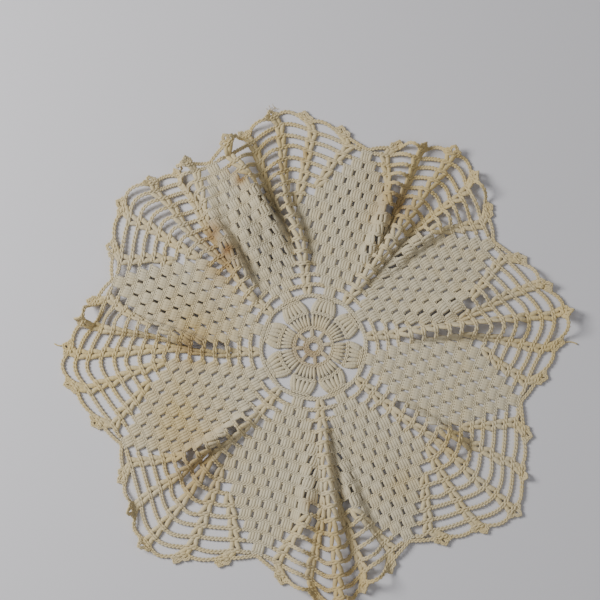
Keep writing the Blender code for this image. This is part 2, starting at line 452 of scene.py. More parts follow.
class StainAndShade(NamedTuple):
    """One tinted spot: its middle and reach in metres, and how yellow and brown it is; most are
    real stains, some are painted shade in a crease or hollow.
    """

    x: float
    y: float
    reach: float
    yellow: float
    brown: float


# real stains and rust spots, and painted shade in some creases and hollows
STAINS_AND_SHADE = (
    StainAndShade(-0.085, -0.047, 0.021, 0.75, 0.10),   # south-west panel, towards its outer tip
    StainAndShade(-0.073, 0.012, 0.027, 0.60, 0.06),    # west panel, lower half
    StainAndShade(-0.078, 0.000, 0.011, 0.50, 0.55),    # net under the west panel
    StainAndShade(-0.058, 0.053, 0.011, 0.55, 0.55),    # net between the west and north-west panels
    StainAndShade(-0.065, 0.073, 0.007, 0.40, 0.80),
    StainAndShade(-0.055, 0.062, 0.004, 0.40, 0.80),
    StainAndShade(-0.047, 0.107, 0.0038, 0.60, 0.95),   # rust spots in the top left net
    StainAndShade(-0.053, 0.114, 0.0030, 0.60, 0.50),
    StainAndShade(-0.022, 0.119, 0.005, 0.80, 0.45),
    StainAndShade(-0.027, 0.138, 0.006, 0.70, 0.20),
    StainAndShade(-0.007, 0.128, 0.004, 0.60, 0.50),
    StainAndShade(-0.028, 0.126, 0.028, 0.35, 0.02),
    StainAndShade(0.055, 0.093, 0.012, 0.60, 0.55),     # pocket between the north and north-east panels: painted shade of the hollow
    # painted shade over the pocket's wider hollow
    StainAndShade(0.078, 0.110, 0.034, 0.55, 0.10),
    StainAndShade(-0.130, -0.020, 0.034, 0.28, 0.02),   # net between the west and south-west panels
    StainAndShade(0.014, -0.150, 0.022, 0.55, 0.28),    # bottom fold: yellower and browner along it
    StainAndShade(0.008, -0.118, 0.012, 0.40, 0.20),
    StainAndShade(0.055, -0.083, 0.013, 0.35, 0.04),    # south-east panel
    StainAndShade(-0.003, -0.099, 0.004, 0.40, 0.35),
    StainAndShade(-0.075, -0.079, 0.017, 0.50, 0.45),   # crease between the south-west and south panels: painted shadow where the net runs under the south-west panel's edge
    StainAndShade(-0.008, -0.002, 0.007, 0.10, 0.34),   # inside the flower: two rust spots
    StainAndShade(0.000, -0.008, 0.007, 0.10, 0.30),
    # painted shade over the flower's middle
    StainAndShade(0.000, 0.003, 0.012, 0.10, 0.20),
    StainAndShade(0.088, -0.062, 0.012, 0.55, 0.15),    # crease between the south-east and east panels: yellower and a little browner along it
    StainAndShade(0.152, 0.010, 0.030, 0.40, 0.05),     # right-hand tip
    StainAndShade(-0.150, 0.005, 0.026, 0.30, 0.03),    # left-hand tip
)


@dataclass(frozen=True)
class Cotton:
    """Mercerised crochet cotton, worked by hand, aged and unevenly stained, with painted shade in
    some creases and hollows.

    A matt thread with a soft bloom of fibres: rough, with a little sheen at grazing angles, and
    a fine diagonal ply that only shows close up.
    """

    name: str = "crochet_cotton"
    fresh: str = "D9CEB1"
    yellowed: str = "D0BA82"
    brown: str = "88663C"
    dim: str = "C0B496"
    roughness: float = 0.88
    sheen: float = 0.25
    ply_mm: float = 2.0268        # one turn of the ply, drawn twice as long as real to show
    fibre_mm: float = 0.35        # size of the fibres' unevenness

    def make(self) -> bpy.types.Material:
        """Build the material.

        Returns:
            The material, with attributes yellow and brown and the UV map thread as its inputs.
        """
        material = bpy.data.materials.new(self.name)
        material.use_nodes = True
        tree = material.node_tree
        shader = tree.nodes["Principled BSDF"]
        where = add_node(tree, "ShaderNodeTexCoord").outputs
        yellow = add_node(tree, "ShaderNodeAttribute", {"attribute_name": "yellow"})
        brown = add_node(tree, "ShaderNodeAttribute", {"attribute_name": "brown"})
        cloud = add_node(tree, "ShaderNodeTexNoise", {"Scale": 90.0, "Detail": 3.0},
                         {"Vector": where["Object"]})
        mottle = add_node(tree, "ShaderNodeMapRange", {1: 0.35, 2: 0.65, 3: -0.16, 4: 0.16},
                          {0: cloud.outputs["Fac"]})
        aged = add_node(tree, "ShaderNodeMath", {"operation": "ADD", "use_clamp": True},
                        {0: yellow.outputs["Fac"], 1: mottle.outputs[0]})
        fibre = add_node(tree, "ShaderNodeTexNoise",
                         {"Scale": 1000.0 / self.fibre_mm, "Detail": 2.0},
                         {"Vector": where["Object"]})
        base = self._mix(tree, linear(self.dim), linear(self.fresh), fibre.outputs["Fac"])
        tinted = self._mix(tree, base, linear(self.yellowed), aged.outputs[0])
        colour = self._mix(tree, tinted, linear(self.brown), brown.outputs["Fac"])
        tree.links.new(colour, shader.inputs["Base Color"])
        shader.inputs["Roughness"].default_value = self.roughness
        shader.inputs["Sheen Weight"].default_value = self.sheen
        shader.inputs["Sheen Roughness"].default_value = 0.5
        ply = add_node(tree, "ShaderNodeTexWave",
                       {"bands_direction": "DIAGONAL", "Scale": 0.2 * math.pi / self.ply_mm,
                        "Distortion": 0.6},
                       {"Vector": where["UV"]})
        both = add_node(tree, "ShaderNodeMath", {"operation": "ADD"},
                        {0: ply.outputs["Fac"], 1: fibre.outputs["Fac"]})
        bump = add_node(tree, "ShaderNodeBump", {"Strength": 0.5, "Distance": 0.00012},
                        {"Height": both.outputs[0]})
        tree.links.new(bump.outputs["Normal"], shader.inputs["Normal"])
        return material

    @staticmethod
    def _mix(tree: bpy.types.NodeTree, first: object, second: object,
             share: bpy.types.NodeSocket) -> bpy.types.NodeSocket:
        """Mix two colours, each a socket or a constant, by a share.

        Args:
            tree: The node tree.
            first: Colour at share 0, a socket or a constant.
            second: Colour at share 1, likewise.
            share: The share.

        Returns:
            The mixed colour.
        """
        node = add_node(tree, "ShaderNodeMix", {"data_type": "RGBA"}, {0: share})
        for index, colour in ((6, first), (7, second)):
            if isinstance(colour, bpy.types.NodeSocket):
                tree.links.new(colour, node.inputs[index])
            else:
                node.inputs[index].default_value = colour
        return node.outputs[2]


@dataclass(frozen=True)
class TableTop:
    """Painted board: a plain pale surface, smooth and matt, that gives a soft even ground."""

    name: str = "painted_board"
    colour: str = "D8D6D9"
    roughness: float = 0.6

    def make(self) -> bpy.types.Material:
        """Build the material.

        Returns:
            The material.
        """
        material = bpy.data.materials.new(self.name)
        material.use_nodes = True
        shader = material.node_tree.nodes["Principled BSDF"]
        shader.inputs["Base Color"].default_value = linear(self.colour)
        shader.inputs["Roughness"].default_value = self.roughness
        return material


# --- thread -------------------------------------------------------------------------------------
class Ground(Enum):
    """What a thread belongs to, with how yellow that has gone."""

    PANEL = 0.06
    NET = 0.38
    EDGE = 0.60
    FLOWER = 0.14


@dataclass
class Thread:
    """Collects strands and sweeps them into one closed mesh."""

    REST = 0.0002                 # strands flatten on the table, this far over it

    name: str
    groups: dict = field(default_factory=dict)

    def strand(self, points: Array, ups: Array, width: Array | float,
               thick: Array | float, sides: int, aged: float) -> None:
        """Add one strand.

        Args:
            points: Its middle line, (n, 3).
            ups: Directions that its thickness is measured in, (n, 3).
            width: Its width, a number or one for each point.
            thick: Its thickness, likewise.
            sides: Corners of its section, an even number.
            aged: How yellow it is by itself, 0 to 1.
        """
        count = len(points)
        size = np.empty((count, 2))
        size[:, 0], size[:, 1] = width, thick
        self.groups.setdefault((count, sides), []).append((points, ups, size, aged))

    @staticmethod
    def _sweep(points: Array, ups: Array, size: Array,
               sides: int) -> tuple[Array, Array]:
        """Sweep sections along strands of equal point counts: vertices and travelled lengths.

        Args:
            points: Middle lines, (strands, n, 3).
            ups: Directions of their thickness, likewise.
            size: Widths and thicknesses, (strands, n, 2).
            sides: Corners of a section.

        Returns:
            The vertices, and how far along its strand each section is.
        """
        way = np.gradient(points, axis=1)
        way /= np.maximum(np.linalg.norm(way, axis=-1, keepdims=True), 1e-12)
        side = np.cross(ups, way)
        side /= np.maximum(np.linalg.norm(side, axis=-1, keepdims=True), 1e-12)
        up = np.cross(way, side)
        turn = 2.0 * math.pi * (np.arange(sides) + 0.5) / sides
        wide = 0.5 * size[..., 0, None, None] * side[:, :, None] * np.cos(turn)[:, None]
        tall = 0.5 * size[..., 1, None, None] * up[:, :, None] * np.sin(turn)[:, None]
        steps = np.linalg.norm(np.diff(points, axis=1), axis=-1)
        travelled = np.concatenate((np.zeros((len(points), 1)), np.cumsum(steps, 1)), axis=1)
        return points[:, :, None] + wide + tall, travelled

    @staticmethod
    def _faces(strands: int, count: int, sides: int) -> Array:
        """Quads of the swept walls and of both ends, for one group.

        Args:
            strands: How many strands.
            count: Sections in a strand.
            sides: Corners of a section.

        Returns:
            Vertex numbers, (quads, 4).
        """
        ring = np.arange(sides)
        after = (ring + 1) % sides
        step = np.arange(count - 1)[:, None] * sides
        wall = np.stack((step + ring, step + sides + ring, step + sides + after, step + after), -1)
        pairs = [(0, i, i + 1, i + 2) for i in range(1, sides - 2, 2)]
        caps = np.array(pairs).reshape(-1, 4)
        last = (count - 1) * sides
        one = np.concatenate((wall.reshape(-1, 4), caps, last + caps[:, ::-1]))
        return (np.arange(strands)[:, None, None] * count * sides + one).reshape(-1, 4)

    @staticmethod
    def _wall_uv(travelled: Array, sides: int) -> Array:
        """UV of every face corner: around the strand, and along it in millimetres.

        Args:
            travelled: How far along its strand each section is.
            sides: Corners of a section.

        Returns:
            The coordinates, (corners, 2), in the faces' order.
        """
        strands, count = travelled.shape
        low = 1000.0 * travelled[:, :-1, None]
        high = 1000.0 * travelled[:, 1:, None]
        around = np.arange(sides)[None, None]
        low, high, around = np.broadcast_arrays(low, high, around)
        corners = np.stack((np.stack((around, low), -1), np.stack((around, high), -1),
                            np.stack((around + 1, high), -1), np.stack((around + 1, low), -1)), -2)
        wall = corners.reshape(strands, -1, 2).astype(float)
        wall[..., 0] /= sides
        ends = np.zeros((strands, 2 * 4 * max((sides - 2) // 2, 1), 2))
        return np.concatenate((wall, ends), axis=1).reshape(-1, 2)

    def make(self) -> bpy.types.Object:
        """Sweep everything into one object.

        Returns:
            The object, closed, with its UV map and its yellow and brown attributes.
        """
        verts, faces, uvs, aged, offset = [], [], [], [], 0
        for (count, sides), strands in self.groups.items():
            points, ups, size, own = (np.array(part) for part in zip(*strands))
            swept, travelled = self._sweep(points, ups, size, sides)
            verts.append(swept.reshape(-1, 3))
            faces.append(self._faces(len(strands), count, sides) + offset)
            uvs.append(self._wall_uv(travelled, sides))
            aged.append(np.repeat(own, count * sides))
            offset += len(verts[-1])
        co, quads = np.concatenate(verts), np.concatenate(faces)
        co[:, 2] = np.maximum(co[:, 2], self.REST + 0.1 * co[:, 2])
        mesh = bpy.data.meshes.new(self.name)
        mesh.vertices.add(len(co))
        mesh.vertices.foreach_set("co", co.ravel())
        mesh.loops.add(quads.size)
        mesh.loops.foreach_set("vertex_index", quads.ravel())
        mesh.polygons.add(len(quads))
        mesh.polygons.foreach_set("loop_start", np.arange(0, quads.size, 4))
        mesh.update(calc_edges=True)
        mesh.uv_layers.new(name="thread").uv.foreach_set("vector", np.concatenate(uvs).ravel())
        self._age(mesh, co, np.concatenate(aged))
        mesh.shade_smooth()
        mesh.validate()
        thing = bpy.data.objects.new(self.name, mesh)
        bpy.context.scene.collection.objects.link(thing)
        return thing

    @staticmethod
    def _age(mesh: bpy.types.Mesh, co: Array, own: Array) -> None:
        """Write how yellow and how brown each vertex is, with stains and painted shade.

        Args:
            mesh: The mesh.
            co: Its vertices.
            own: How yellow each vertex is without stains and painted shade.
        """
        yellow, brown = own.copy(), np.zeros(len(co))
        # stains, and the painted shade of some creases and hollows, tint the vertices near them
        for patch in STAINS_AND_SHADE:
            away = ((co[:, 0] - patch.x) ** 2 + (co[:, 1] - patch.y) ** 2) / patch.reach**2
            spread = np.exp(-away)
            yellow += patch.yellow * spread
            brown += patch.brown * spread
        for name, values in (("yellow", yellow), ("brown", brown)):
            layer = mesh.attributes.new(name, "FLOAT", "POINT")
            layer.data.foreach_set("value", np.clip(values, 0.0, 1.0))


@dataclass
class Hook:
    """Works stitches into a thread, in the pattern of one wedge of the lay."""

    SWELL = (0.72, 0.98, 1.16, 1.00, 0.76)   # a post's width up its height, as a share
    POST_THICK = 0.00182
    SWAY = 0.00008                # how far a post sways sideways
    BULGE = 0.0001                # how far it bulges upward
    WRAP_SPAN = (0.30, 0.78)      # where up a post its wrap runs
    WRAP_SIZE = (0.00062, 0.0005)
    WRAP_OVER = 0.00068           # height of the wrap over the post's middle
    APART = (0.36, 0.16)          # a chain's strands from its middle, and how that changes
    GIRTH = (0.94, 0.12)          # their thickness, and how that changes

    lay: Lay
    wedge: int
    thread: Thread
    rng: np.random.Generator
    ground: Ground

    def half(self, row: float) -> float:
        """Half length that a round takes in the wedge."""
        return self.lay.half(self.wedge, row)

    def drift(self, spread: float, middle: float = 0.0) -> float:
        """A random amount about a middle."""
        return float(self.rng.normal(middle, spread))

    def shade(self, row: float) -> float:
        """How yellow a stitch of a round is, a little uneven."""
        outward = 0.10 * (row / self.lay.gauge.last) if self.ground is Ground.NET else 0.0
        return self.ground.value + outward + self.drift(0.04)

    def tall(self, base: Pair, top: Pair, width: float, height: float = 0.00092) -> None:
        """Work one tall stitch: a full post, and the thread that wraps it slantwise.

        Args:
            base: Place and round of its foot.
            top: Place and round of its head.
            width: Width of the post.
            height: Height of its middle over the underside of the cloth.
        """
        along = np.linspace(0.0, 1.0, len(self.SWELL))
        arch = np.sin(math.pi * along)
        sway = self.drift(self.SWAY) / self.half(top[1])
        places = base[0] + (top[0] - base[0]) * along + sway * arch
        rows = base[1] + (top[1] - base[1]) * along
        points, ups = self.lay.at(self.wedge, places, rows, height + self.BULGE * arch)
        swell = np.array(self.SWELL) * self.drift(0.03, 1.0)
        shade = self.shade(top[1])
        self.thread.strand(points, ups, width * swell, self.POST_THICK * swell, 6, shade)
        self._wrap(points, ups, width, shade)

    def _wrap(self, points: Array, ups: Array, width: float, shade: float) -> None:
        """Slant a thread once across the front of a post.

        Args:
            points: The post's middle line.
            ups: Upward unit vectors along it.
            width: Width of the post.
            shade: How yellow it is.
        """
        place = np.linspace(*self.WRAP_SPAN, 5) * (len(points) - 1)
        middle, up = (np.stack([np.interp(place, range(len(line)), axis) for axis in line.T], 1)
                      for line in (points, ups))
        way = points[-1] - points[0]
        side = np.cross(up, way / np.linalg.norm(way))
        turn = np.linspace(-0.1, 1.1, 5)[:, None] * math.pi
        offset = 0.47 * width * np.cos(turn) * side + self.WRAP_OVER * np.sin(turn) * up
        self.thread.strand(middle + offset, up, *self.WRAP_SIZE, 4, shade)

    def chain(self, start: Pair, end: Pair, links: int, bow: float = 0.0,
              height: float = 0.00095, rise: float = 0.0, width: float = 1.0) -> None:
        """Work a run of chain stitches as two strands that part and meet.

        Args:
            start: Place and round where it starts.
            end: Place and round where it ends.
            links: How many chain stitches.
            bow: How far its middle bows outward, in rounds.
            height: Height of its middle over the underside of the cloth.
            rise: How much higher its middle is than its ends.
            width: Width as a share of the usual.
        """
        along = np.linspace(0.0, 1.0, 4 * links + 1)
        arch = 4.0 * along * (1.0 - along)
        places = start[0] + (end[0] - start[0]) * along
        rows = start[1] + (end[1] - start[1]) * along + bow * arch
        points, ups = self.lay.at(self.wedge, places, rows, height + rise * arch)
        self.cord(points, ups, links, self.shade(0.5 * (start[1] + end[1])), width)

    def cord(self, points: Array, ups: Array, links: int, shade: float,
             width: float = 1.0) -> None:
        """Lay the two strands of a run of chain.

        Args:
            points: The chain's middle line.
            ups: Upward unit vectors along it.
            links: How many chain stitches.
            shade: How yellow it is.
            width: Width as a share of the usual.
        """
        thread = self.lay.gauge.thread * width
        way = np.gradient(points, axis=0)
        way /= np.maximum(np.linalg.norm(way, axis=1, keepdims=True), 1e-12)
        side = np.cross(ups, way)
        phase = np.linspace(0.0, 1.0, len(points))[:, None] * 2.0 * math.pi * links
        for hand in (-1.0, 1.0):
            apart = hand * thread * (self.APART[0] - self.APART[1] * np.cos(phase))
            over = thread * self.APART[1] * np.sin(phase) * hand
            girth = thread * (self.GIRTH[0] - self.GIRTH[1] * np.cos(phase[:, 0]))
            self.thread.strand(points + side * apart + ups * over, ups, girth, girth, 6, shade)


# --- sub-assemblies -----------------------------------------------------------------------------
@dataclass
class Panel:
    """One diamond panel: blocks of four tall stitches, parted by small slots."""

    hook: Hook                    # works all but the tall stitches
    front: Hook                   # works the tall stitches
    rows: int = 15
    spread_foot: float = 0.94     # how far a block's feet spread, as a share of its heads
    post: float = 1.32            # width of a post as a share of a stitch
    core: float = 3.3             # width of a block's joined core, in stitches
    tie: float = 0.0014           # width of the drawn-up chain in a slot's foot

    def build(self) -> None:
        """Work the panel."""
        gauge = self.hook.lay.gauge
        for row in range(1, self.rows + 1):
            blocks = min(row, 2 * gauge.widest - row)
            for block in range(blocks):
                middle = (block - 0.5 * (blocks - 1)) * gauge.block
                self._block(middle, row)
                self._core(middle, row)
                if block:
                    self._tie(middle - 0.5 * gauge.block, row)
            self._heads(0.5 * blocks * gauge.block, row)

    def _line(self, spans: Array, row: float | Array, at: Array | float,
              height: float) -> tuple[Array, Array]:
        """A line across the panel.

        Args:
            spans: Distances from the panel's middle line.
            row: The rounds in which they are measured.
            at: The rounds at which the line lies.
            height: Its height over the underside of the cloth.

        Returns:
            Its points and its upward unit vectors.
        """
        lay, wedge = self.hook.lay, self.hook.wedge
        spans, rows = np.broadcast_arrays(spans, row)
        places = np.array([lay.across(wedge, *pair) for pair in zip(spans, rows)])
        return lay.at(wedge, places, at, height)

    def _block(self, middle: float, row: int) -> None:
        """Work four tall stitches side by side.

        Args:
            middle: Distance from the panel's middle line to the block's.
            row: The round.
        """
        lay, wedge = self.hook.lay, self.hook.wedge
        stitch = lay.gauge.stitch
        for post in range(4):
            off = (post - 1.5) * stitch
            base = (lay.across(wedge, middle + self.spread_foot * off, row - 1), row - 0.98)
            top = (lay.across(wedge, middle + off, row), row - 0.04)
            self.front.tall(base, top, self.post * stitch)

    def _core(self, middle: float, row: int) -> None:
        """Work the threads behind a block's posts, which join them.

        Args:
            middle: Distance from the panel's middle line to the block's.
            row: The round.
        """
        rows = np.linspace(row - 0.97, row - 0.05, 4)
        width = self.core * self.hook.lay.gauge.stitch
        points, ups = self._line(middle, rows, rows, 0.0006)
        self.hook.thread.strand(points, ups, width, 0.0007, 4, self.hook.shade(row))

    def _tie(self, middle: float, row: int) -> None:
        """Draw the chain of the round below up into a slot's foot.

        Args:
            middle: Distance from the panel's middle line to the slot.
            row: The round.
        """
        spans = middle + np.linspace(-0.9, 0.9, 5) * self.hook.lay.gauge.stitch
        points, ups = self._line(spans, row, row - 0.76, 0.0006)
        self.hook.thread.strand(points, ups, self.tie, 0.0012, 6, self.hook.shade(row))

    def _heads(self, half: float, row: int) -> None:
        """Work the chain of stitch heads along the top of a round.

        Args:
            half: Half the round's length.
            row: The round.
        """
        stitch = self.hook.lay.gauge.stitch
        reach = half - 0.3 * stitch
        links = max(round(2.0 * reach / stitch), 1)
        points, ups = self._line(np.linspace(-reach, reach, 4 * links + 1), row, float(row), 0.0011)
        self.hook.cord(points, ups, links, self.hook.shade(row), 0.98)


@dataclass
class Net:
    """The loose net between two panels: columns of V-stitches with chain rungs between them."""

    hook: Hook
    # a side column's first round, its distance from the middle one, and that distance's growth
    second: tuple[int, float, float] = (9, 0.0086, 0.0020)
    third: tuple[int, float, float] = (11, 0.0126, 0.0048)
    post: float = 0.0031          # width of the V-stitches' posts
    unevenness: float = 0.0007    # how far a V-stitch is off its column
    slack: float = 0.040          # outward bow of a rung as a share of its length

    def columns(self, row: int) -> list[float]:
        """Places of the panel's edge and of the columns on one side, outermost first.

        Args:
            row: The round.

        Returns:
            Places from the panel's edge to the middle column, all between -1 and 0.
        """
        gauge = self.hook.lay.gauge
        if row >= gauge.last:
            return [-1.0, -0.72, -0.36, 0.0]
        blocks = min(row, 2 * gauge.widest - row)
        edge = -1.0 + 0.5 * blocks * gauge.block / self.hook.half(row)
        net = gauge.net_half + gauge.net_growth * max(row - gauge.widest, 0)
        spots = [0.0]
        for first, off, growth in (self.second, self.third):
            if row >= first:
                spots.insert(0, edge * (off + growth * (row - gauge.widest)) / net)
        return [edge] + spots

    def build(self) -> None:
        """Work the net of one wedge."""
        for row in range(1, self.hook.lay.gauge.last):
            spots = self.columns(row)
            before = self.columns(row - 1) if row > 1 else [-1.0, 0.0]
            for side in (-1.0, 1.0):
                self._rungs(spots, row, side)
                self._stems(spots, before, row, side)

    def _stems(self, spots: list[float], before: list[float], row: int, side: float) -> None:
        """Work a round's V-stitches on one side; the middle column's is worked once.

        Args:
            spots: Places of the round's columns.
            before: Places of the columns of the round before.
            row: The round.
            side: Which side, -1 or 1.
        """
        for rank in range(1, len(spots)):
            foot = before[-rank] if rank < len(before) else before[0]
            if rank > 1 or side < 0.0:
                self.vee(-side * spots[-rank], -side * foot, row)

    def vee(self, spot: float, foot: float, row: int, reach: float = 1.0) -> None:
        """Work one V-stitch: two posts from one foot, and the chain across their heads.

        Args:
            spot: Place of its head.
            foot: Place of its foot.
            row: The round.
            reach: Its height, in rounds.
        """
        half = self.hook.lay.gauge.v_half / self.hook.half(row)
        spot += self.hook.drift(self.unevenness) / self.hook.half(row)
        for hand in (-1.0, 1.0):
            base = (foot + 0.22 * hand * half, row - 1.0)
            top = (spot + hand * half, row - 1.0 + 0.96 * reach)
            self.hook.tall(base, top, self.post)
        across = row - 1.0 + reach
        self.hook.chain((spot - 1.3 * half, across), (spot + 1.3 * half, across), 2,
                        height=0.0013, width=1.28)

    def _rungs(self, spots: list[float], row: int, side: float) -> None:
        """Work the runs of chain between a round's columns on one side.

        Args:
            spots: Places of the panel's edge and of the columns.
            row: The round.
            side: Which side, -1 or 1.
        """
        gauge = self.hook.lay.gauge
        half = self.hook.half(row)
        vee = 0.9 * gauge.v_half / half
        for rank, (first, second) in enumerate(zip(spots, spots[1:])):
            start = first + (vee if rank else 0.0)
            end = second - vee
            length = (end - start) * half
            if length < 0.4 * gauge.chain:
                continue
            links = max(round(length / gauge.chain), 1)
            bow = self.slack * length / gauge.row + self.hook.drift(0.06)
            self.hook.chain((-side * start, row), (-side * end, row), links, bow,
                            rise=abs(self.hook.drift(0.0004)), width=1.08)


@dataclass
class Edging:
    """One wedge's edge round: chain loops between its columns, a picot cluster on each."""

    hook: Hook
    places: tuple[float, ...] = (-0.72, -0.36, 0.0, 0.36, 0.72)
    stem: float = 0.80            # height of the cluster's V-stitch, in rounds
    ends: float = 15.25           # round in which the wedge's first and last loops are held
    bow: float = 0.42             # outward bow of a loop between clusters, in rounds
    end_bow: float = 0.10         # outward bow of the first and last loops
    leans: tuple[Pair, ...] = ((-0.95, 0.0019), (0.0, 0.0024), (0.95, 0.0019))

    def build(self) -> None:
        """Work the wedge's edge round."""
        net = Net(self.hook)
        last = self.hook.lay.gauge.last
        inner = net.columns(last - 1)[1:]
        feet = inner + [-spot for spot in inner[-2::-1]]
        for spot, foot in zip(self.places, feet):
            net.vee(spot, foot, last, self.stem)
            self._cluster(spot)
        self._loops()

    def _loops(self) -> None:
        """Work the chain loops."""
        gauge = self.hook.lay.gauge
        row = gauge.last - 1.0 + self.stem
        half = self.hook.half(gauge.last)
        vee = gauge.v_half / half
        spots = (-1.0,) + self.places + (1.0,)
        for first, second in zip(spots, spots[1:]):
            start = (first + vee, row) if first > -1.0 else (first, self.ends)
            end = (second - vee, row) if second < 1.0 else (second, self.ends)
            links = max(round((end[0] - start[0]) * half / gauge.chain), 2)
            bow = self.bow if first > -1.0 and second < 1.0 else self.end_bow
            rise = abs(self.hook.drift(0.0006))
            self.hook.chain(start, end, links, bow + self.hook.drift(0.06), rise=rise)

    def _cluster(self, spot: float) -> None:
        """Work three small picot loops in a fan.

        Args:
            spot: Place of the cluster.
        """
        gauge = self.hook.lay.gauge
        half = self.hook.half(gauge.last)
        turn = np.linspace(-0.86 * math.pi, 0.86 * math.pi, 13)
        for lean, size in self.leans:
            lean += self.hook.drift(0.12)
            out = size * (1.0 + np.cos(turn))
            side = size * 0.72 * np.sin(turn)
            places = spot + (out * math.sin(lean) + side * math.cos(lean) + lean * 0.0012) / half
            beyond = (out * math.cos(lean) - side * math.sin(lean)) / gauge.row + 0.06
            points, ups = self.hook.lay.at(self.hook.wedge, places, gauge.last - 1.0 + self.stem
                                           + beyond, 0.0010 + 0.0004 * np.cos(turn))
            self.hook.cord(points, ups, 5, self.hook.shade(gauge.last), 0.98)


@dataclass
class Part:
    """A part of the doily that is worked on the lay and gets its finish."""

    lay: Lay
    finish: bpy.types.Material

    def dress(self, thread: Thread) -> bpy.types.Object:
        """Turn a thread into a piece and give it its cotton.

        Args:
            thread: The thread, with all its strands.

        Returns:
            The piece.
        """
        piece = thread.make()
        piece.data.materials.append(self.finish)
        return piece


@dataclass
class Repeat(Part):
    """One eighth of the doily outside the flower: a panel, the net after it, and its edging."""

    index: int

    def _hook(self, thread: Thread, ground: Ground, seed: int) -> Hook:
        """A hook in this wedge."""
        return Hook(self.lay, self.index, thread, np.random.default_rng(seed + self.index), ground)

    def build(self) -> tuple[bpy.types.Object, bpy.types.Object]:
        """Work the repeat.

        Returns:
            Its ground, and the panel's tall stitches on it.
        """
        name = f"repeat_{PANELS[self.index].name}"
        thread, posts = Thread(name), Thread(name + "_posts")
        hook = self._hook(thread, Ground.PANEL, SEED)
        Panel(hook, replace(hook, thread=posts)).build()
        Net(self._hook(thread, Ground.NET, SEED + 50)).build()
        Edging(self._hook(thread, Ground.EDGE, SEED + 90)).build()
        return self.dress(thread), self.dress(posts)


@dataclass
class Flower(Part):
    """The middle of the doily: ring, spokes, eight petals of two tiers, and the chain arches."""

    name: str = "flower"
    hole: float = 0.0039          # radius of the innermost ring's middle line
    hub: float = 0.0057           # radius of the hub
    spoke_top: float = 0.0112
    band: float = 0.0122          # ring from which the petals grow
    tier_top: float = 0.0208      # heads of the inner tier
    outer_band: float = 0.0220
    cluster: float = 0.0308       # heads of the outer tier

    def _row(self, radius: float) -> float:
        """Round number of a radius within the flower."""
        return Lay.FIRST * (1.0 - radius / self.lay.gauge.tip_in)

    def build(self) -> tuple[bpy.types.Object, bpy.types.Object]:
        """Work the flower.

        Returns:
            Its ground, and the petals' tall stitches.
        """
        rng = np.random.default_rng(SEED + 99)
        hook = Hook(self.lay, 0, Thread(self.name), rng, Ground.FLOWER)
        front = replace(hook, thread=Thread(self.name + "_posts"))
        for radius, links in ((self.hole, 11), (self.hub, 16), (self.band, 36)):
            self._ring(hook, radius, links)
        for petal in range(len(PANELS)):
            hook.wedge = front.wedge = petal
            self._spokes(hook)
            self._tier(front, (self.band + 0.0006, self.tier_top), 6, (0.88, 0.88))
            self._tier(front, (self.outer_band - 0.0004, self.cluster), 5, (0.84, 0.34))
            self._sides(hook)
            self._tip(hook)
            self._arch(hook)
        return self.dress(hook.thread), self.dress(front.thread)

    def _ring(self, hook: Hook, radius: float, links: int) -> None:
        """Work one closed ring of stitch heads.

        Args:
            hook: What works it.
            radius: Radius of its middle line.
            links: How many stitches.
        """
        bearings = np.linspace(0.0, 2.0 * math.pi, 4 * links + 1)
        points = np.stack((radius * np.cos(bearings), radius * np.sin(bearings),
                           np.full(len(bearings), 0.0011)), axis=1)
        hook.cord(points, np.tile((0.0, 0.0, 1.0), (len(points), 1)), links, hook.shade(0.0))

    def _spokes(self, hook: Hook) -> None:
        """Work a spoke's two posts, from the hub to the band."""
        low, high = self._row(self.hub), self._row(self.spoke_top + 0.0006)
        for off in (-0.16, 0.16):
            hook.tall((off, low), (0.4 * off, high), 0.0017)

    def _tier(self, hook: Hook, radii: Pair, posts: int, spread: Pair) -> None:
        """Work one tier of a petal's tall stitches.

        Args:
            hook: What works it.
            radii: Radii of its feet and heads.
            posts: How many stitches.
            spread: How much of the wedge its feet and heads take.
        """
        low, high = self._row(radii[0]), self._row(radii[1])
        width = 2.3 * 0.88 * spread[0] * hook.half(0.5 * (low + high))
        for post in range(posts):
            share = 2.0 * post / (posts - 1) - 1.0
            base, top = (-1.0 + 0.88 * part * share for part in spread)
            hook.tall((base, low), (top, high), min(width / (posts - 0.2), 0.0027), 0.0009)

    def _sides(self, hook: Hook) -> None:
        """Work the smooth stitches down both sides of a petal's outer tier."""
        low, high = self._row(self.outer_band), self._row(self.cluster)
        for hand in (-1.0, 1.0):
            hook.tall((-1.0 + hand * 0.86, low), (-1.0 + hand * 0.44, high), 0.0030, 0.0008)

    def _tip(self, hook: Hook) -> None:
        """Work the heads between a petal's tiers, and those that close it."""
        for radius, reach in ((self.outer_band, 0.90), (self.cluster, 0.42)):
            middle = self._row(radius)
            links = max(round(2.0 * reach * hook.half(middle) / 0.0021), 2)
            hook.chain((-1.0 - reach, middle), (-1.0 + reach, middle), links, 0.0, 0.0012)

    def _arch(self, hook: Hook) -> None:
        """Work the two rounds of cord from one petal tip to the next."""
        low = self._row(self.cluster + 0.0012)
        hook.chain((-0.62, low), (0.62, low), 8, 0.22, 0.0010)
        hook.chain((-1.0, -0.04), (1.0, -0.04), 12, 0.06, 0.0012)


